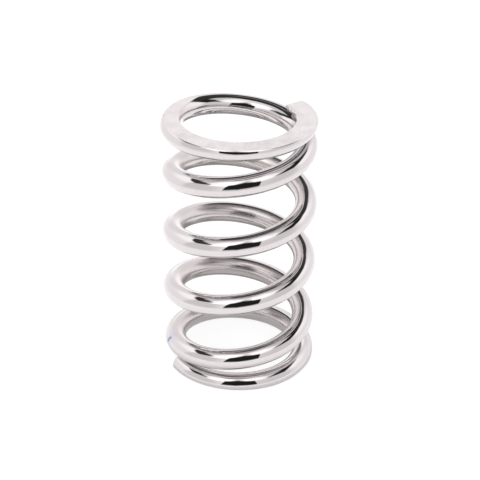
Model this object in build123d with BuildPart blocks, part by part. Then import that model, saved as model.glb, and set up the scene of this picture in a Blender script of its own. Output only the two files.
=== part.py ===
from build123d import *
from math import cos, pi, radians, sin
import os

# Coil spring for a telescopic damper: one round wire, wound right-handed, closed and ground at both ends.
# Millimetres and degrees. +Z is the coil axis, and the origin is the middle of the lower ground face.

# Driving dimensions
wire_diameter = 12.0
inner_diameter = 63.5
free_length = 152.4
total_turns = 5.53
upper_tip_angle = 35.0
tip_thickness = 6.25
tip_clearance = 0.25
closed_angle = 130.0
full_pitch_angle = 480.0
end_coil_shift = 0.8
shift_fade_angle = 120.0
points_per_turn = 16

# Worked out from them
full_turn = 360.0
wire_radius = wire_diameter / 2
mean_radius = (inner_diameter + wire_diameter) / 2
wound_angle = total_turns * full_turn
lower_tip_angle = upper_tip_angle - wound_angle
tip_height = tip_thickness - wire_radius


def ramp_share(angle):
    # How much of the extra pitch has been gained, in turns, this many degrees along the wire from a tip.
    ramp = full_pitch_angle - closed_angle
    if angle <= closed_angle:
        return 0.0
    if angle >= full_pitch_angle:
        return (angle - closed_angle - ramp / 2) / full_turn
    return (angle - closed_angle) ** 2 / (2 * ramp * full_turn)


# Two conditions fix the two pitches: one turn from a tip the wire has climbed by its own thickness and
# the clearance, and the two tips stand the free length apart.
first_turn_share = ramp_share(full_turn)
wound_share = 2 * ramp_share(wound_angle / 2)
first_turn_climb = wire_diameter + tip_clearance
wound_climb = free_length - 2 * tip_height
extra_pitch = (wound_climb - total_turns * first_turn_climb) / (wound_share - total_turns * first_turn_share)
closed_pitch = first_turn_climb - extra_pitch * first_turn_share
body_pitch = closed_pitch + extra_pitch


def climb(angle):
    # Height gained between a tip and a point this many degrees along the wire.
    return closed_pitch * angle / full_turn + extra_pitch * ramp_share(angle)


def radius_change(angle):
    # The end coil sits a little to the side of the axis, away from its tip, and comes back past one turn.
    if angle < full_turn:
        return -end_coil_shift * cos(radians(angle))
    faded = min((angle - full_turn) / shift_fade_angle, 1.0)
    return -end_coil_shift * (1 + cos(pi * faded)) / 2


def centre_point(angle):
    # A point of the wire's centre line, this many degrees up from the lower tip.
    from_upper = wound_angle - angle
    if angle < from_upper:
        height = tip_height + climb(angle)
    else:
        height = free_length - tip_height - climb(from_upper)
    radius = mean_radius + radius_change(angle) + radius_change(from_upper)
    direction = radians(lower_tip_angle + angle)
    return Vector(radius * cos(direction), radius * sin(direction), height)


span_count = round(total_turns * points_per_turn)
centre_points = [centre_point(wound_angle * step / span_count) for step in range(span_count + 1)]

with BuildPart() as coil_spring:
    with BuildLine() as centre_line:
        coil_path = Spline(*centre_points)
    with BuildSketch(coil_path ^ 0) as wire_section:
        Circle(wire_radius)
    sweep(path=coil_path, is_frenet=True)
    split(bisect_by=Plane.XY, keep=Keep.TOP)
    split(bisect_by=Plane.XY.offset(free_length), keep=Keep.BOTTOM)

coil_spring.part.label = "coil_spring"

os.makedirs("parts", exist_ok=True)
export_step(coil_spring.part, "parts/coil_spring.step")
print("pitch of the active coils", round(body_pitch, 2), "closed pitch", round(closed_pitch, 2))
print("wire length", round(coil_path.length, 1), "volume", round(coil_spring.part.volume))
print("section times length", round(wire_section.sketch.area * coil_path.length))
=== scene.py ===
import math

import bmesh
import bpy
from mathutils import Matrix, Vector


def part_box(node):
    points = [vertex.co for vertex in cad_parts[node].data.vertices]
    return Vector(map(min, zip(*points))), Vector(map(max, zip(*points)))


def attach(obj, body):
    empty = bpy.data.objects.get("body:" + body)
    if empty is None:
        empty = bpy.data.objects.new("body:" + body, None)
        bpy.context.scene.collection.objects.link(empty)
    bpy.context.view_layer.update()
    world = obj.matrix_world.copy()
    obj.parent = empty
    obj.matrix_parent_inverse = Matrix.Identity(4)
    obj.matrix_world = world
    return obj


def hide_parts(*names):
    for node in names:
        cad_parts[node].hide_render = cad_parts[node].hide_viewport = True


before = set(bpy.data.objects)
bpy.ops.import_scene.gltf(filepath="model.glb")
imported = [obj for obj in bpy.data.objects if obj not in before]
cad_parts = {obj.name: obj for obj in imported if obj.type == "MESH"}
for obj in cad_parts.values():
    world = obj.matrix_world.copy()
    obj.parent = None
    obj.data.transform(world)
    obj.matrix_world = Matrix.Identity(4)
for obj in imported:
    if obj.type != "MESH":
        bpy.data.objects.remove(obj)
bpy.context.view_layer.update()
print("frame loaded, parts:", ", ".join(sorted(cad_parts)))


class Value:
    # A socket. Sums written on it add Math nodes to its tree.
    def __init__(self, maker, socket):
        self.maker = maker
        self.socket = socket

    def __add__(self, other):
        return self.maker.maths("ADD", self, other)

    def __sub__(self, other):
        return self.maker.maths("SUBTRACT", self, other)

    def __rsub__(self, other):
        return self.maker.maths("SUBTRACT", other, self)

    def __mul__(self, other):
        return self.maker.maths("MULTIPLY", self, other)

    def __truediv__(self, other):
        return self.maker.maths("DIVIDE", self, other)

    def __rtruediv__(self, other):
        return self.maker.maths("DIVIDE", other, self)

    def __neg__(self):
        return self.maker.maths("MULTIPLY", self, -1.0)

    def __abs__(self):
        return self.maker.maths("ABSOLUTE", self)

    def __lt__(self, other):
        return self.maker.maths("LESS_THAN", self, other)

    def __gt__(self, other):
        return self.maker.maths("GREATER_THAN", self, other)

    __radd__ = __add__
    __rmul__ = __mul__

    def output(self, name):
        return Value(self.maker, self.socket.node.outputs[name])  # another output of the same node


class Maker:
    # Adds nodes to one tree, a shader's or a geometry's.
    def __init__(self, tree):
        self.tree = tree

    def add(self, nodeType, settings=None, inputs=None, output=0):
        node = self.tree.nodes.new(nodeType)
        for name, setting in (settings or {}).items():
            if name == "captures":
                for label, kind in setting:
                    node.capture_items.new(kind, label)
            else:
                setattr(node, name, setting)
        for name, value in (inputs or {}).items():
            if isinstance(value, Value):
                self.tree.links.new(value.socket, node.inputs[name])
            else:
                node.inputs[name].default_value = value
        return Value(self, node.outputs[output]) if node.outputs else None

    def maths(self, operation, *values):
        return self.add("ShaderNodeMath", {"operation": operation}, dict(enumerate(values)))

    def vectorMaths(self, operation, *values, output=0):
        return self.add("ShaderNodeVectorMath", {"operation": operation}, dict(enumerate(values)), output)

    def scaled(self, vector, factor):
        return self.add("ShaderNodeVectorMath", {"operation": "SCALE"}, {0: vector, "Scale": factor})

    def combined(self, x, y, z):
        return self.add("ShaderNodeCombineXYZ", {}, {0: x, 1: y, 2: z})

    def parts(self, vector):
        first = self.add("ShaderNodeSeparateXYZ", {}, {0: vector})
        return first, first.output("Y"), first.output("Z")

    def step(self, value, low, high):
        # 0 below low, 1 above high, smooth between. With low above high it runs the other way.
        settings = {"interpolation_type": "SMOOTHSTEP"}
        return self.add("ShaderNodeMapRange", settings, {0: value, 1: low, 2: high, 3: 0.0, 4: 1.0})

    def window(self, value, low, lowTop, highTop, high):
        # 0 outside low and high, 1 between the two tops, smooth on both slopes
        return self.step(value, low, lowTop) * self.step(value, high, highTop)

    def share(self, value, low, high):
        # 0 at low, 1 at high, straight between
        return self.add("ShaderNodeMapRange", {}, {0: value, 1: low, 2: high, 3: 0.0, 4: 1.0})

    def blend(self, factor, first, second):
        return self.add("ShaderNodeMix", {}, {0: factor, 2: first, 3: second})

    def blendColour(self, factor, first, second):
        return self.add("ShaderNodeMix", {"data_type": "RGBA"}, {0: factor, 6: first, 7: second}, 2)

    def noise(self, place, scale, detail, roughness=0.5):
        return self.add("ShaderNodeTexNoise", {}, {
            "Vector": place, "Scale": scale, "Detail": detail, "Roughness": roughness,
        })


def newMaterial(name):
    material = bpy.data.materials.new(name)
    material.use_nodes = True
    material.node_tree.nodes.clear()
    return material, Maker(material.node_tree)


def finishSurface(m, surface):
    m.add("ShaderNodeOutputMaterial", {}, {"Surface": surface})


def finishMetal(m, colour, roughness, relief):
    bump = m.add("ShaderNodeBump", {}, {"Strength": 1.0, "Distance": 1.0, "Height": relief})
    finishSurface(m, m.add("ShaderNodeBsdfPrincipled", {}, {
        "Base Color": colour, "Metallic": 1.0, "Roughness": roughness, "Normal": bump,
    }))


def aroundAxis(m, place):
    # Distance from the coil's axis, compass angle from +X in degrees, and height
    acrossX, acrossY, height = m.parts(place)
    radius = m.maths("SQRT", acrossX * acrossX + acrossY * acrossY)
    return radius, m.maths("DEGREES", m.maths("ARCTAN2", acrossY, acrossX)), height


# The coil's sizes, in metres and degrees
coilSizes = {
    "wireDiameter": 0.012,
    "innerDiameter": 0.0635,
    "totalTurns": 5.53,
    "upperTipAngle": 35.0,         # from +X
    "tipThickness": 0.00625,       # what grinding leaves of the wire at its very end
    "tipClearance": 0.00025,       # between the end coil and its neighbour
    "closedAngle": 130.0,          # from a tip to where the pitch begins to grow
    "fullPitchAngle": 480.0,       # and to where it is full
    "endCoilShift": 0.0008,        # the end coil sits this far to the side
    "shiftFadeAngle": 120.0,       # and comes back over this angle past one turn
    "upperLift": 0.0008,           # how much nearer the upper end coil lay to the grinding wheel
    "liftPlace": 250.0,            # at this angle from the tip
    "liftSpan": 75.0,              # and less so for this angle on both sides of it
    "outerBreak": 0.0026,          # rounding of a ground face's outer rim, where it is roundest
    "innerBreak": 0.0003,
    "breakGrows": (0.060, 0.083),  # distance from the tip over which the outer rounding grows
    "breakFalls": (0.086, 0.102),  # and becomes less again
    "crispNearTip": 0.3,           # share of it that is left nearer to the tip
    "crispPastFront": 0.48,        # and further away
    "crispAngle": 32.0,            # degrees between the ground face and its rounded rim, where they meet
    "crispShare": 0.6,             # and its most, as a share of what a sharp rim would have
    "leastCut": 24.0,              # half the angle of the smallest cut that gets a rim
    "endBreak": 0.0005,            # rounding of the wire's cut ends
    "tipRounding": 0.0030,         # rounding of a cut end's outer corner, seen from above
    "burrHeight": 0.0025,          # ragged edge that grinding leaves on the inner rim near a tip
    "burrLength": 0.0185,
    "burrTop": (0.35, 0.6),        # shares of its length between which it is whole
    "burrRim": (0.70, 1.05),       # shares of the flat's width where it begins, and from where it falls
    "burrScale": 1100.0,           # its grain
    "burrWidth": 0.004,            # how fast the grain changes across the rim
    "burrFloor": 0.28,             # grain below this leaves the rim low
    "burrContrast": 2.4,
    "ringsPerTurn": 180,
    "tipRings": 70,                # closer rings beside each cut end
    "tipSpan": 30.0,               # degrees that they cover
    "edgeRings": 4,                # rings that make the rounding of a cut end
    "sectionPoints": 72,
    "flatSpans": 9,                # spans of the section from the middle of the ground face to its rim
    "rimSpans": 4,                 # spans round the rim
    "turnsOver": (0.35, 0.65),     # share of the wire between which the section turns upside down
}

fullTurn = 360.0


def rampShare(angle, sizes):
    # Extra pitch gained, in turns, this far along the wire from a tip
    ramp = sizes["fullPitchAngle"] - sizes["closedAngle"]
    started = min(max(angle - sizes["closedAngle"], 0.0), ramp)
    return (started * started / (2 * ramp) + max(angle - sizes["fullPitchAngle"], 0.0)) / fullTurn


def windingLaw(sizes, freeLength):
    # The tip coil touches its neighbour after one turn, and the tips stand the free length apart
    turns = sizes["totalTurns"]
    woundAngle = turns * fullTurn
    tipHeight = sizes["tipThickness"] - sizes["wireDiameter"] / 2
    firstShare = rampShare(fullTurn, sizes)
    wholeShare = 2 * rampShare(woundAngle / 2, sizes)
    firstClimb = sizes["wireDiameter"] + sizes["tipClearance"]
    wholeClimb = freeLength - 2 * tipHeight
    extraPitch = (wholeClimb - turns * firstClimb) / (wholeShare - turns * firstShare)
    return {
        "Wire Radius": sizes["wireDiameter"] / 2,
        "Mean Radius": (sizes["innerDiameter"] + sizes["wireDiameter"]) / 2,
        "Free Length": freeLength,
        "Wound Angle": woundAngle,
        "Lower Tip Angle": sizes["upperTipAngle"] - woundAngle,
        "Tip Height": tipHeight,
        "Closed Pitch": firstClimb - extraPitch * firstShare,
        "Extra Pitch": extraPitch,
        "Closed Angle": sizes["closedAngle"],
        "Full Pitch Angle": sizes["fullPitchAngle"],
        "End Coil Shift": sizes["endCoilShift"],
        "Shift Fade Angle": sizes["shiftFadeAngle"],
        "Upper Lift": sizes["upperLift"],
        "Lift Place": sizes["liftPlace"],
        "Lift Span": sizes["liftSpan"],
        "Outer Break": sizes["outerBreak"],
        "Inner Break": sizes["innerBreak"],
        "Crisp Near Tip": sizes["crispNearTip"],
        "Crisp Past Front": sizes["crispPastFront"],
        "Crisp Angle": sizes["crispAngle"],
        "End Break": sizes["endBreak"],
        "Tip Rounding": sizes["tipRounding"],
        "Tip Span": sizes["tipSpan"],
        "Burr Height": sizes["burrHeight"],
        "Burr Length": sizes["burrLength"],
    }


def coilStations(m, inputs, sizes):
    # Stations along the wire, crowded together beside the two cut ends and in their rounding
    edgeRings = sizes["edgeRings"]
    tipRings = sizes["tipRings"]
    evenSpans = round(sizes["totalTurns"] * sizes["ringsPerTurn"])
    ringCount = evenSpans + 2 * (edgeRings + tipRings) + 1
    index = m.add("GeometryNodeInputIndex")
    fromTip = m.maths("MINIMUM", index, ringCount - 1 - index)
    edgeAngle = m.maths("DEGREES", inputs["End Break"] / inputs["Mean Radius"])
    edgeTurn = m.maths("RADIANS", m.maths("MINIMUM", fromTip / edgeRings, 1.0) * 90.0)
    evenStep = (inputs["Wound Angle"] - edgeAngle * 2 - inputs["Tip Span"] * 2) / evenSpans
    pastEdge = m.maths("MAXIMUM", fromTip - edgeRings, 0.0)
    tipPart = m.maths("MINIMUM", pastEdge / tipRings, 1.0) * inputs["Tip Span"]
    evenPart = m.maths("MAXIMUM", pastEdge - tipRings, 0.0) * evenStep
    tipAngle = edgeAngle * (1 - m.maths("COSINE", edgeTurn)) + tipPart + evenPart
    inset = inputs["End Break"] * (1 - m.maths("SINE", edgeTurn))
    upper = index > (ringCount - 1) / 2

    # Height above the nearer ground plane, and radius
    ramp = inputs["Full Pitch Angle"] - inputs["Closed Angle"]
    started = m.maths("MINIMUM", m.maths("MAXIMUM", tipAngle - inputs["Closed Angle"], 0.0), ramp)
    past = m.maths("MAXIMUM", tipAngle - inputs["Full Pitch Angle"], 0.0)
    gained = (started * started / (ramp * 2) + past) / fullTurn
    height = inputs["Tip Height"] + inputs["Closed Pitch"] * tipAngle / fullTurn
    height = height + inputs["Extra Pitch"] * gained
    fromLift = m.maths("MINIMUM", abs(tipAngle - inputs["Lift Place"]) / inputs["Lift Span"], 1.0)
    height = height - upper * inputs["Upper Lift"] * (m.maths("COSINE", fromLift * math.pi) + 1) / 2
    faded = m.maths("MAXIMUM", tipAngle - fullTurn, 0.0) / inputs["Shift Fade Angle"]
    fade = (m.maths("COSINE", m.maths("MINIMUM", faded, 1.0) * math.pi) + 1) / 2
    swing = m.maths("COSINE", m.maths("RADIANS", m.maths("MINIMUM", tipAngle, fullTurn)))
    radius = inputs["Mean Radius"] - inputs["End Coil Shift"] * swing * fade
    along = m.blend(upper, tipAngle, inputs["Wound Angle"] - tipAngle)
    direction = m.maths("RADIANS", inputs["Lower Tip Angle"] + along)
    centre = m.combined(
        radius * m.maths("COSINE", direction),
        radius * m.maths("SINE", direction),
        m.blend(upper, height, inputs["Free Length"] - height),
    )
    turned = m.step(along, *(inputs["Wound Angle"] * part for part in sizes["turnsOver"]))
    line = m.add("GeometryNodeMeshLine", {}, {"Count": ringCount})
    path = m.add("GeometryNodeMeshToCurve", {}, {"Mesh": line})
    path = m.add("GeometryNodeSetPosition", {}, {"Geometry": path, "Position": centre})
    return m.add("GeometryNodeCaptureAttribute", {"captures": [
        ("Centre", "VECTOR"), ("Tangent", "VECTOR"), ("Height", "FLOAT"), ("Inset", "FLOAT"),
        ("Section Turn", "FLOAT"), ("From Tip", "FLOAT"),
    ]}, {
        "Geometry": path,
        "Centre": m.add("GeometryNodeInputPosition"),
        "Tangent": m.add("GeometryNodeInputTangent"),
        "Height": height,
        "Inset": inset,
        "Section Turn": turned * math.pi,
        "From Tip": m.maths("RADIANS", tipAngle) * inputs["Mean Radius"],
    })


def raggedRim(m, inputs, sizes, fromTip, half, flatEnd, rimEnd):
    # Share of the burr's height that a point of the section gets: only on the rim, and only beside a tip
    grain = m.noise(m.combined(fromTip, half * sizes["burrWidth"], 0.0), sizes["burrScale"], 2.0, 0.7)
    grain = m.maths("MAXIMUM", grain - sizes["burrFloor"], 0.0) * sizes["burrContrast"]
    grain = m.maths("MINIMUM", grain, 1.0)
    length = inputs["Burr Length"]
    topStart, topEnd = sizes["burrTop"]
    rimStart, rimFall = sizes["burrRim"]
    nearTip = m.window(fromTip, 0.0, length * topStart, length * topEnd, length)
    onRim = m.window(half, flatEnd * rimStart, flatEnd, flatEnd * rimFall, rimEnd)
    return (grain + 1) / 2 * nearTip * onRim


def groundSection(m, inputs, sizes, stations, place):
    # Each side of the section runs from the middle of the flat, round its rim, to the far side of the wire
    points = sizes["sectionPoints"]
    mirrored = place > 0.5
    side = mirrored * 2 - 1
    half = m.blend(mirrored, place, 1 - place) * 2
    flatEnd = sizes["flatSpans"] * 2 / points
    rimEnd = flatEnd + sizes["rimSpans"] * 2 / points
    beyondFlat = half > flatEnd
    beyondRim = half > rimEnd

    # Lower cuts face down and upper cuts up, so the section turns by half a turn on the way
    turn = stations.output("Section Turn")
    turnCosine = m.maths("COSINE", turn)
    turnSine = m.maths("SINE", turn)
    outward = side * turnCosine > 0.0
    tangent = stations.output("Tangent")
    sideways = m.vectorMaths("NORMALIZE", m.vectorMaths("CROSS_PRODUCT", tangent, (0.0, 0.0, 1.0)))
    upwards = m.vectorMaths("CROSS_PRODUCT", sideways, tangent)
    depth = stations.output("Height") / m.parts(upwards)[2]

    # The rim's arc touches the wire inside and meets the flat at the crisp angle
    wireRadius = inputs["Wire Radius"]
    fromTip = stations.output("From Tip")
    grown = m.blend(m.step(fromTip, *sizes["breakGrows"]), inputs["Crisp Near Tip"], 1.0)
    grown = grown * m.blend(m.step(fromTip, *sizes["breakFalls"]), 1.0, inputs["Crisp Past Front"])
    edge = m.blend(outward, inputs["Inner Break"], inputs["Outer Break"] * grown)
    sharpAngle = m.maths("ARCCOSINE", m.maths("MINIMUM", depth / wireRadius, 1.0))
    crispMost = sharpAngle * sizes["crispShare"]
    crispAngle = m.maths("MINIMUM", m.maths("RADIANS", inputs["Crisp Angle"]), crispMost)
    crispRise = edge * m.maths("COSINE", crispAngle)
    cutCosine = m.maths("MINIMUM", (depth - crispRise) / (wireRadius - edge), 1.0)
    cutAngle = m.maths("ARCCOSINE", cutCosine)
    cutHalf = (wireRadius - edge) * m.maths("SINE", cutAngle)
    crispHalf = cutHalf + edge * m.maths("SINE", crispAngle)

    # Where the cut is shallow or has ended, the same points lie on a small arc and are held above the plane
    leastAngle = math.radians(sizes["leastCut"])
    shallow = cutAngle < leastAngle
    heldAngle = m.maths("MAXIMUM", cutAngle, leastAngle)
    arcAngle = heldAngle + (math.pi - heldAngle) * m.share(half, rimEnd, 1.0)
    rimAngle = crispAngle + (cutAngle - crispAngle) * m.share(half, flatEnd, rimEnd)
    shallowAngle = m.blend(beyondRim, leastAngle * half / rimEnd, arcAngle)
    normalAngle = m.blend(shallow, m.blend(beyondRim, rimAngle, arcAngle), shallowAngle)
    normalAngle = normalAngle * m.maths("MAXIMUM", shallow, beyondFlat)
    sine = m.maths("SINE", normalAngle)
    cosine = m.maths("COSINE", normalAngle)
    flatAcross = crispHalf * m.maths("MINIMUM", half / flatEnd, 1.0)
    rimAcross = m.blend(beyondFlat, flatAcross, cutHalf + edge * sine)
    rimUp = m.blend(beyondFlat, -depth, crispRise - depth - edge * cosine)
    onArc = m.maths("MAXIMUM", shallow, beyondRim)
    inset = stations.output("Inset")
    across = (m.blend(onArc, rimAcross, wireRadius * sine) - inset * sine) * side
    up = m.maths("MAXIMUM", m.blend(onArc, rimUp, -(wireRadius * cosine)), -depth) + inset * cosine

    # Beside a tip the outer half narrows round its corner, and the inner rim is ragged
    corner = m.maths("MAXIMUM", 1 - fromTip / inputs["Tip Rounding"], 0.0)
    narrowing = (1 - m.maths("SQRT", 1 - corner * corner)) * inputs["Tip Rounding"] / wireRadius
    across = across * (1 - narrowing * outward)
    burr = raggedRim(m, inputs, sizes, fromTip, half, flatEnd, rimEnd) * (1 - outward)
    across = across + side * burr * inputs["Burr Height"]
    offset = m.vectorMaths(
        "ADD",
        m.scaled(sideways, across * turnCosine - up * turnSine),
        m.scaled(upwards, across * turnSine + up * turnCosine),
    )
    return m.vectorMaths("ADD", stations.output("Centre"), offset)


def coilTree(law, sizes, materials):
    # A right-handed helix of varying pitch, its section cut flat by the two ground planes
    tree = bpy.data.node_groups.new("groundCoil", "GeometryNodeTree")
    sockets = {}
    for name in law:
        sockets[name] = tree.interface.new_socket(name=name, in_out="INPUT", socket_type="NodeSocketFloat")
    tree.interface.new_socket(name="Geometry", in_out="OUTPUT", socket_type="NodeSocketGeometry")
    m = Maker(tree)
    given = m.add("NodeGroupInput")
    inputs = {name: given.output(name) for name in law}
    stations = coilStations(m, inputs, sizes)

    # The section's points are numbered from the middle of the flat
    points = sizes["sectionPoints"]
    section = m.add("GeometryNodeCaptureAttribute", {"captures": [("Place", "FLOAT")]}, {
        "Geometry": m.add("GeometryNodeCurvePrimitiveCircle", {}, {
            "Resolution": points, "Radius": inputs["Wire Radius"],
        }),
        "Place": m.add("GeometryNodeInputIndex") / points,
    })
    tube = m.add("GeometryNodeCurveToMesh", {}, {
        "Curve": stations, "Profile Curve": section, "Fill Caps": True,
    })
    surface = groundSection(m, inputs, sizes, stations, section.output("Place"))
    shaped = m.add("GeometryNodeSetPosition", {}, {"Geometry": tube, "Position": surface})

    # Faces on the ground planes, and the two cut ends, which are the only faces with many corners
    levelNormal = 0.99995
    manyNeighbours = 10.0
    ground = abs(m.parts(m.add("GeometryNodeInputNormal"))[2]) > levelNormal
    cutFace = m.add("GeometryNodeInputMeshFaceNeighbors") > manyNeighbours
    shaped = m.add("GeometryNodeSetShadeSmooth", {}, {"Geometry": shaped, "Shade Smooth": True})
    shaped = m.add("GeometryNodeSetShadeSmooth", {}, {
        "Geometry": shaped, "Selection": m.maths("MAXIMUM", ground, cutFace), "Shade Smooth": False,
    })
    whole = m.add("GeometryNodeRealizeInstances", {}, {"Geometry": shaped})
    whole = m.add("GeometryNodeSetMaterial", {}, {"Geometry": whole, "Material": materials["wire"]})
    for selection, name in ((ground, "ground"), (cutFace, "cut")):
        whole = m.add("GeometryNodeSetMaterial", {}, {
            "Geometry": whole, "Selection": selection, "Material": materials[name],
        })
    m.add("NodeGroupOutput", {}, {"Geometry": whole})
    return tree, sockets


def buildCoil(sizes, materials):
    low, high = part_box("coil_spring")
    law = windingLaw(sizes, high.z - low.z)
    tree, sockets = coilTree(law, sizes, materials)
    holder = bpy.data.objects.new("coilMaker", bpy.data.meshes.new("coilMaker"))
    bpy.context.collection.objects.link(holder)
    modifier = holder.modifiers.new("groundCoil", "NODES")
    modifier.node_group = tree
    for name, value in law.items():
        modifier[sockets[name].identifier] = value
    evaluated = holder.evaluated_get(bpy.context.evaluated_depsgraph_get())
    mesh = bpy.data.meshes.new_from_object(evaluated)
    holder.modifiers.remove(modifier)
    bpy.data.objects.remove(holder)
    mesh.name = "groundCoilSpring"
    coil = bpy.data.objects.new("groundCoilSpring", mesh)
    bpy.context.collection.objects.link(coil)
    return coil


# Chrome plate over the wire. The polishing wheel reached the outer side and the whole of the end coil,
# and the plate is thinner and duller on the inner side. Pairs are where a change begins and ends, and
# fours are where something begins, is whole, begins to end and has ended. Angles are from +X.
chromeFinish = {
    "outerColour": (0.660, 0.638, 0.643, 1.0),
    "innerColour": (0.650, 0.621, 0.614, 1.0),
    "outerRoughness": 0.03,
    "innerRoughness": 0.23,
    "polishedRadii": (0.0345, 0.0385),    # from the inner finish to the outer one
    "polishedHeights": (0.137, 0.143),    # above these the inner side is polished too
    "waveScale": 75.0,                    # slow waves left by hand polishing
    "waveHeight": 0.00016,
    "wavesInside": 0.12,                  # share of them on the inner side
    "grainScale": 900.0,                  # fine unevenness of the plate
    "grainHeight": 0.000004,
    "rippleScale": 330.0,                 # small ripples on the inner side of the end coil
    "rippleHeight": 0.000022,
    "rippleRadii": (0.0350, 0.0335),
    "patchScale": 160.0,                  # patches where the polish is thin
    "patchEdges": (0.52, 0.74),
    "patchRoughness": 0.03,
    "patchColour": (0.52, 0.49, 0.49, 1.0),
    "patchCover": 0.10,                   # how much of that colour shows, as for the covers below
    "stainPlace": (-0.0402, -0.0118, 0.0140),
    "stainTurn": (20.0, -12.0, 0.0),      # degrees
    "stainSize": (0.0023, 0.0018, 0.0064),
    "stainEdges": (1.0, 0.55),            # shares of its size
    "stainColour": (0.22, 0.24, 0.29, 1.0),
    "stainCover": 0.9,
    "haloEdges": (3.2, 1.0),              # the pale blue round the stain, in the same shares
    "haloColour": (0.57, 0.59, 0.70, 1.0),
    "haloCover": 0.8,
    "creviceAngles": (2.0, 10.0, 31.0, 35.0),    # painted shade on the inner wall inside the upper tip
    "creviceRadii": (0.0350, 0.0340),
    "creviceHeights": (0.1452, 0.1462, 0.1519, 0.1522),
    "creviceShadeColour": (0.17, 0.16, 0.16, 1.0),
    "creviceShadeCover": 0.9,
    "creviceTopShadeHeights": (0.1503, 0.1513),      # above these heights, painted darker shade at the top of the crevice
    "creviceTopShadeColour": (0.05, 0.045, 0.045, 1.0),
    "creviceTopShadeCover": 0.9,
    "gapAngles": (-62.0, -32.0, 20.0, 30.0),     # painted shade under the closed end coil, on the coil below
    "gapRadii": (0.0410, 0.0380),
    "gapHeights": (0.1362, 0.1402),       # at +X
    "gapRise": 0.0000835,                 # rise of those heights for each degree
    "gapTop": (0.1452, 0.1440),
    "gapShadeColour": (0.27, 0.27, 0.30, 1.0),
    "gapShadeCover": 0.55,
}


def chromeMaterial(name, finish):
    material, m = newMaterial(name)
    place = m.add("ShaderNodeTexCoord", {}, {}, "Object")
    radius, angle, height = aroundAxis(m, place)
    highUp = m.step(height, *finish["polishedHeights"])
    polished = m.maths("MAXIMUM", m.step(radius, *finish["polishedRadii"]), highUp)
    waves = m.noise(place, finish["waveScale"], 1.5)
    grain = m.noise(place, finish["grainScale"], 3.0)
    ripple = m.noise(place, finish["rippleScale"], 2.0)
    patches = m.noise(place, finish["patchScale"], 4.0, 0.65)
    thin = m.step(patches, *finish["patchEdges"])

    turn = tuple(math.radians(part) for part in finish["stainTurn"])
    nearStain = m.add("ShaderNodeMapping", {"vector_type": "TEXTURE"}, {
        "Vector": place, "Location": finish["stainPlace"], "Rotation": turn, "Scale": finish["stainSize"],
    })
    fromStain = m.vectorMaths("LENGTH", nearStain, output="Value")
    stain = m.step(fromStain + (grain - 0.5), *finish["stainEdges"])
    halo = m.step(fromStain + (patches - 0.5) * 2, *finish["haloEdges"])
    # Painted shade on the inner wall inside the upper tip
    creviceShade = m.window(angle, *finish["creviceAngles"]) * m.step(radius, *finish["creviceRadii"])
    creviceShade = creviceShade * m.window(height, *finish["creviceHeights"])
    # Painted shade on the coil below, under the closed end coil
    gapShade = m.window(angle, *finish["gapAngles"]) * m.step(radius, *finish["gapRadii"])
    gapShade = gapShade * m.step(height - angle * finish["gapRise"], *finish["gapHeights"])
    gapShade = gapShade * m.step(height, *finish["gapTop"])
    # Painted darker shade at the top of the crevice, under the tip
    creviceTopShade = creviceShade * m.step(height, *finish["creviceTopShadeHeights"])

    # Each mark is laid over those before it
    marks = {"patch": thin, "halo": halo, "stain": stain, "creviceShade": creviceShade, "gapShade": gapShade, "creviceTopShade": creviceTopShade}
    colour = m.blendColour(polished, finish["innerColour"], finish["outerColour"])
    for mark, mask in marks.items():
        colour = m.blendColour(mask * finish[mark + "Cover"], colour, finish[mark + "Colour"])
    roughness = m.blend(polished, finish["innerRoughness"], finish["outerRoughness"])
    roughness = roughness + thin * finish["patchRoughness"]
    waved = polished * (1 - finish["wavesInside"]) + finish["wavesInside"]
    relief = waves * waved * finish["waveHeight"] + grain * polished * finish["grainHeight"]
    relief = relief + ripple * m.step(radius, *finish["rippleRadii"]) * highUp * finish["rippleHeight"]
    finishMetal(m, colour, roughness, relief)
    return material


# The two ground seats, plated over the marks of the grinding wheel
groundFinish = {
    "colour": (0.735, 0.708, 0.710, 1.0),
    "shadeColour": (0.685, 0.655, 0.656, 1.0),
    "roughness": 0.20,
    "wheelCentre": (-0.32, 0.06, 0.0),    # the marks are arcs round the grinding wheel's axis
    "markScale": 2600.0,
    "markStretch": 0.012,
    "markEdges": (0.40, 0.70),
    "markShade": 0.25,                    # share of the shade colour that they bring
    "markRoughness": 0.12,
    "markHeight": 0.0000022,
    "mottleScale": 110.0,
    "mottleEdges": (0.42, 0.66),
    "mottleShade": 0.55,
    "mottleRoughness": 0.16,
    "mottleHeight": 0.00002,
    "speckleScale": 900.0,
    "spotPlace": (-0.0425, 0.0015, 0.1524),
    "spotSize": 0.0011,
    "spotCore": 0.4,                      # share of its size that is whole
    "spotCover": 0.5,
    "burrScale": 800.0,                   # speckles along the ragged inner rim at the upper tip
    "burrEdges": (0.55, 0.63),
    "burrRadii": (0.0324, 0.0314),
    "burrAngles": (6.0, 12.0, 34.0, 40.0),
    "burrHeights": (0.1518, 0.1522),
    "burrRelief": 0.0003,
    "burrRoughness": 0.2,
    "burrCover": 0.8,
    "burrColour": (0.27, 0.255, 0.255, 1.0),    # the spot has it too
}


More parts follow.
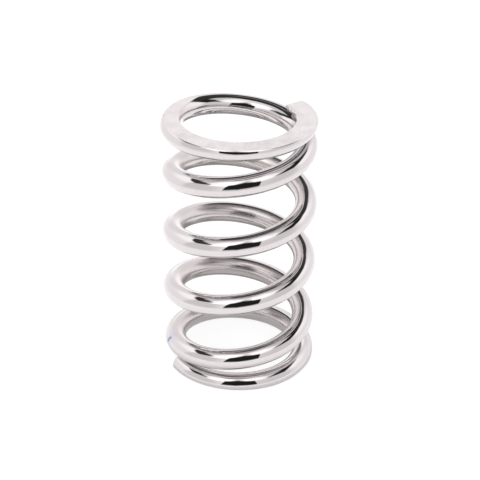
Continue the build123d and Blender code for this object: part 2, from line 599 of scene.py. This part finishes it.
def groundMaterial(name, finish):
    material, m = newMaterial(name)
    place = m.add("ShaderNodeTexCoord", {}, {}, "Object")
    wheelX, wheelY = m.parts(m.vectorMaths("SUBTRACT", place, finish["wheelCentre"]))[:2]
    wheelRadius = m.maths("SQRT", wheelX * wheelX + wheelY * wheelY)
    wheelAngle = m.maths("ARCTAN2", wheelY, wheelX)
    arcPlace = m.combined(wheelRadius, wheelAngle * finish["markStretch"], 0.0)
    marks = m.noise(arcPlace, finish["markScale"], 3.0)
    mottle = m.noise(place, finish["mottleScale"], 5.0, 0.6)
    speckle = m.noise(place, finish["speckleScale"], 2.0)

    radius, angle, height = aroundAxis(m, place)
    fromSpot = m.vectorMaths("DISTANCE", place, finish["spotPlace"], output="Value")
    spotSize = finish["spotSize"]
    spot = m.step(fromSpot + (speckle - 0.5) * spotSize * 2, spotSize, spotSize * finish["spotCore"])
    burr = m.step(m.noise(place, finish["burrScale"], 2.0, 0.7), *finish["burrEdges"])
    burr = burr * m.window(angle, *finish["burrAngles"]) * m.step(radius, *finish["burrRadii"])
    burr = burr * m.step(height, *finish["burrHeights"])

    shade = m.step(mottle, *finish["mottleEdges"]) * finish["mottleShade"]
    shade = shade + m.step(marks, *finish["markEdges"]) * finish["markShade"]
    dark = m.maths("MAXIMUM", spot * finish["spotCover"], burr * finish["burrCover"])
    colour = m.blendColour(shade, finish["colour"], finish["shadeColour"])
    colour = m.blendColour(dark, colour, finish["burrColour"])
    roughness = finish["roughness"] + (mottle - 0.5) * finish["mottleRoughness"]
    roughness = roughness + (marks - 0.5) * finish["markRoughness"] + burr * finish["burrRoughness"]
    relief = marks * finish["markHeight"] + mottle * finish["mottleHeight"]
    relief = relief + burr * speckle * finish["burrRelief"]
    finishMetal(m, colour, roughness, relief)
    return material


# The sheared ends of the wire: one part of each is smeared bright, the rest is broken and grainy
shearFinish = {
    "colour": (0.46, 0.43, 0.43, 1.0),
    "smearColour": (0.64, 0.61, 0.615, 1.0),
    "roughness": 0.38,
    "brokenRoughness": 0.15,    # more where it is broken
    "brokenShade": 0.7,         # share of the broken colour there
    "gritShade": 0.3,
    "brokenScale": 140.0,
    "brokenEdges": (0.42, 0.58),
    "dragScale": 1400.0,
    "dragStretch": 0.12,        # the blade dragged the smeared part along the height
    "dragHeight": 0.00003,
    "gritScale": 1100.0,
    "gritHeight": 0.00012,
}


def shearMaterial(name, finish):
    material, m = newMaterial(name)
    place = m.add("ShaderNodeTexCoord", {}, {}, "Object")
    stretched = m.add("ShaderNodeMapping", {}, {"Vector": place, "Scale": (1.0, 1.0, finish["dragStretch"])})
    drag = m.noise(stretched, finish["dragScale"], 3.0)
    grit = m.noise(place, finish["gritScale"], 5.0)
    broken = m.step(m.noise(place, finish["brokenScale"], 2.0), *finish["brokenEdges"])
    shade = broken * finish["brokenShade"] + grit * finish["gritShade"]
    colour = m.blendColour(shade, finish["smearColour"], finish["colour"])
    roughness = finish["roughness"] + broken * finish["brokenRoughness"]
    relief = m.blend(broken, drag * finish["dragHeight"], grit * finish["gritHeight"])
    finishMetal(m, colour, roughness, relief)
    return material


# The light tent round the object: a dome whose panels are given by compass angle and height in degrees,
# seen from its middle. Angle 0 is the camera's side, and angles grow towards +X. Each panel is laid over
# those before it.
tent = {
    "radius": 0.75,
    "middle": (0.0, 0.0, 0.075),
    "colour": (1.0, 0.965, 0.975, 1.0),
    "level": 1.15,
    # name, angles of the left and right side, heights of the lower edge at those sides, heights of the
    # upper edge there, softness of the left, right, lower and upper edge, brightness
    "panels": [
        ("wallBack", (138, 214), (8, 8), (60, 60), (20, 20, 12, 8), 1.03),
        ("glowBack", (164, 196), (-25, -25), (8, 8), (12, 12, 14, 14), 1.42),
        ("stripLeft", (-134, -86), (23, 23), (60, 60), (22, 8, 20, 8), 1.43),
        ("stripRight", (86, 134), (20, 20), (60, 60), (14, 40, 20, 8), 1.38),
        ("greyLeft", (-87, -34), (-9, -9), (44, 44), (10, 30, 10, 10), 0.88),
        ("greyRight", (24, 83), (-9, -9), (44, 44), (4, 26, 10, 10), 0.94),
        ("greyRightMiddle", (42, 78), (-6, -6), (44, 44), (20, 20, 10, 10), 0.88),
        ("overheadLeft", (-95, 0), (48, 48), (100, 100), (8, 12, 8, 8), 1.13),
        ("overheadRight", (-2, 95), (48, 48), (100, 100), (12, 8, 8, 8), 1.32),
        ("paleLeft", (-122, -76), (48, 48), (100, 100), (6, 8, 6, 8), 0.89),
        ("paleRight", (58, 112), (50, 50), (100, 100), (26, 6, 6, 8), 0.81),
        ("brightLeft", (-57, -14), (33, 28), (66, 66), (8, 6, 12, 8), 1.73),
        ("brightLeftSide", (-70, -52), (50, 33), (66, 66), (8, 8, 8, 8), 1.51),
        ("brightRight", (5, 46), (33, 40), (66, 66), (8, 8, 16, 8), 1.65),
        ("brightRightSide", (42, 59), (40, 54), (66, 62), (8, 8, 8, 8), 1.42),
        ("darkLeft", (-84, -60), (33, 40), (50.5, 44), (6, 6, 5, 6), 0.05),
        ("darkLeftBack", (-128, -79), (46, 33), (54, 50.5), (4, 6, 4, 6), 0.05),
        ("darkRight", (49, 81), (41, 34), (44.5, 54.5), (6, 6, 5, 6), 0.03),
        ("darkRightBack", (76, 113), (33.5, 43), (53, 58), (6, 6, 4.5, 7), 0.02),
        ("darkBack", (106, 243), (42, 44.5), (100, 100), (5, 5, 6, 8), 0.045),
        ("wallBackMiddle", (160, 200), (28, 28), (60, 60), (14, 14, 10, 8), 1.36),
        ("darkBackMiddle", (154, 208), (37.5, 37.5), (60, 60), (8, 8, 10, 8), 0.06),
        ("gableLeft", (-17, -3), (40, 40), (50, 61), (4, 6, 6, 6), 0.78),
        ("gableRight", (-6, 10), (40, 40), (61, 50), (6, 4, 6, 6), 0.84),
        ("openingLeft", (-25.5, -2), (-5, -5), (38, 51), (2, 6, 16, 9), 0.02),
        ("openingRight", (-8, 24.5), (-5, -5), (51, 38), (6, 2, 16, 9), 0.02),
    ],
}


def tentLight(m, values, direction):
    # The tent's brightness in a direction from its middle
    east, north, upward = m.parts(m.vectorMaths("NORMALIZE", direction))
    angle = m.maths("DEGREES", m.maths("ARCTAN2", east, -north))
    height = m.maths("DEGREES", m.maths("ARCSINE", upward))
    light = values["level"]
    for name, angles, lowerEdge, upperEdge, softness, brightness in values["panels"]:
        width = angles[1] - angles[0]
        left, right, lower, upper = (edge / 2 for edge in softness)
        turned = m.maths("WRAP", angle - sum(angles) / 2, 180.0, -180.0)
        mask = m.window(turned, -width / 2 - left, -width / 2 + left, width / 2 - right, width / 2 + right)
        across = turned / width + 0.5
        above = height - across * (lowerEdge[1] - lowerEdge[0])
        mask = mask * m.step(above, lowerEdge[0] - lower, lowerEdge[0] + lower)
        below = height - across * (upperEdge[1] - upperEdge[0])
        mask = mask * m.step(below, upperEdge[0] + upper, upperEdge[0] - upper)
        light = m.blend(mask, light, brightness)
    return light


def buildTent(values):
    mesh = bpy.data.meshes.new("lightTent")
    shape = bmesh.new()
    bmesh.ops.create_uvsphere(shape, u_segments=96, v_segments=48, radius=values["radius"])
    bmesh.ops.reverse_faces(shape, faces=shape.faces)
    shape.to_mesh(mesh)
    shape.free()
    dome = bpy.data.objects.new("lightTent", mesh)
    dome.location = values["middle"]
    dome.visible_camera = False
    bpy.context.collection.objects.link(dome)
    material, m = newMaterial("lightTent")
    strength = tentLight(m, values, m.add("ShaderNodeTexCoord", {}, {}, "Object"))
    finishSurface(m, m.add("ShaderNodeEmission", {}, {"Color": values["colour"], "Strength": strength}))
    mesh.materials.append(material)


def buildWorld(level):
    # Outside the tent there is plain light, and white for the camera
    world = bpy.data.worlds.new("plainStudio")
    bpy.context.scene.world = world
    world.use_nodes = True
    world.node_tree.nodes.clear()
    m = Maker(world.node_tree)
    seen = m.add("ShaderNodeLightPath", {}, {}, "Is Camera Ray")
    background = m.add("ShaderNodeBackground", {}, {
        "Color": (1.0, 1.0, 1.0, 1.0), "Strength": m.blend(seen, level, 1.0),
    })
    m.add("ShaderNodeOutputWorld", {}, {"Surface": background})


# A pale floor, on which the camera sees only a faint shadow of the object. The chrome sees the floor a
# little brighter than it is lit, with a painted shadow behind the object and painted shade inside the
# coil, and further out it sees the tent's panels come down over it.
floorValues = {
    "halfWidth": 3.0,
    "colour": (0.86, 0.86, 0.86, 1.0),
    # colour of the painted shadow behind the object and of the painted shade inside the coil
    "shadeColour": (0.02, 0.02, 0.02, 1.0),
    "cameraWhite": 1.14,
    "cameraShare": 0.78,              # the rest of what the camera sees is the lit floor
    "chromeLift": 0.55,
    "chromeLiftColour": (1.0, 0.985, 0.985, 1.0),
    # painted shadow on the floor behind the object, seen only by the chrome
    "paintedShadowPlace": (0.01, 0.20, 0.0),
    "paintedShadowSize": (0.10, 0.20, 1.0),
    "paintedShadowEdges": (1.15, 0.55),       # shares of its size
    "paintedShadowDepth": 0.75,
    "paintedShadeRadii": (0.065, 0.035),    # painted shade on the floor inside the coil
    "paintedShadeDepth": 0.35,
    "panelsFrom": (0.22, 0.34),
}


def buildFloor(values, tentValues):
    half = values["halfWidth"]
    mesh = bpy.data.meshes.new("paleFloor")
    corners = [(-half, -half, 0.0), (half, -half, 0.0), (half, half, 0.0), (-half, half, 0.0)]
    mesh.from_pydata(corners, [], [(0, 1, 2, 3)])
    floor = bpy.data.objects.new("paleFloor", mesh)
    bpy.context.collection.objects.link(floor)
    material, m = newMaterial("paleFloor")
    place = m.add("ShaderNodeTexCoord", {}, {}, "Object")
    inShade = m.add("ShaderNodeMapping", {"vector_type": "TEXTURE"}, {
        "Vector": place, "Location": values["paintedShadowPlace"], "Scale": values["paintedShadowSize"],
    })
    fromShade = m.vectorMaths("LENGTH", inShade, output="Value")
    fromMiddle = m.vectorMaths("LENGTH", place, output="Value")
    fromCamera = m.add("ShaderNodeLightPath", {}, {}, "Is Camera Ray")
    fromChrome = fromCamera.output("Is Glossy Ray")
    # Painted shadow behind the object and painted shade inside the coil, which only the chrome sees
    paintedShadowBehind = m.step(fromShade, *values["paintedShadowEdges"]) * values["paintedShadowDepth"]
    paintedShadeInside = m.step(fromMiddle, *values["paintedShadeRadii"]) * values["paintedShadeDepth"]
    shade = m.maths("MAXIMUM", paintedShadowBehind, paintedShadeInside) * fromChrome
    diffuse = m.add("ShaderNodeBsdfDiffuse", {}, {
        "Color": m.blendColour(shade, values["colour"], values["shadeColour"]),
    })
    lift = m.add("ShaderNodeEmission", {}, {
        "Color": values["chromeLiftColour"], "Strength": fromChrome * values["chromeLift"] * (1 - shade),
    })
    near = m.add("ShaderNodeAddShader", {}, {0: diffuse, 1: lift})
    panels = tentLight(m, tentValues, m.vectorMaths("SUBTRACT", place, tentValues["middle"]))
    outer = m.add("ShaderNodeEmission", {}, {"Color": tentValues["colour"], "Strength": panels})
    farOut = m.step(fromMiddle, *values["panelsFrom"]) * fromChrome
    lit = m.add("ShaderNodeMixShader", {}, {0: farOut, 1: near, 2: outer})
    white = m.add("ShaderNodeEmission", {}, {"Strength": values["cameraWhite"]})
    seen = fromCamera * values["cameraShare"]
    finishSurface(m, m.add("ShaderNodeMixShader", {}, {0: seen, 1: lit, 2: white}))
    mesh.materials.append(material)


# The camera stands where the photograph was taken from
cameraValues = {
    "focalLength": 112.5,
    "frameWidth": 36.0,
    "distance": 0.8648,
    "height": 28.767,    # degrees above the horizon
    "roll": 0.637,       # degrees
    "aim": (0.00055, 0.0, 0.0750),
}


def buildCamera(values):
    height = math.radians(values["height"])
    roll = math.radians(values["roll"])
    back = Vector((0.0, -math.cos(height), math.sin(height)))
    right = Vector((1.0, 0.0, 0.0))
    up = back.cross(right)
    camera = bpy.data.objects.new("photographCamera", bpy.data.cameras.new("photographCamera"))
    camera.data.lens = values["focalLength"]
    camera.data.sensor_width = values["frameWidth"]
    camera.location = Vector(values["aim"]) + back * values["distance"]
    turn = camera.rotation_euler.to_matrix()
    turn.col[0] = right * math.cos(roll) + up * math.sin(roll)
    turn.col[1] = up * math.cos(roll) - right * math.sin(roll)
    turn.col[2] = back
    camera.rotation_euler = turn.to_euler()
    bpy.context.collection.objects.link(camera)
    bpy.context.scene.camera = camera


buildCamera(cameraValues)
buildWorld(tent["level"])
buildTent(tent)
buildFloor(floorValues, tent)
print("camera, light tent and floor made")

materials = {
    "wire": chromeMaterial("chromedWire", chromeFinish),
    "ground": groundMaterial("groundSeat", groundFinish),
    "cut": shearMaterial("shearedWireEnd", shearFinish),
}
print("materials made:", ", ".join(material.name for material in materials.values()))

coil = buildCoil(coilSizes, materials)
print("coil made, faces:", len(coil.data.polygons))
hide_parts("coil_spring")
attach(coil, "root")

bpy.context.scene.view_settings.view_transform = "Standard"
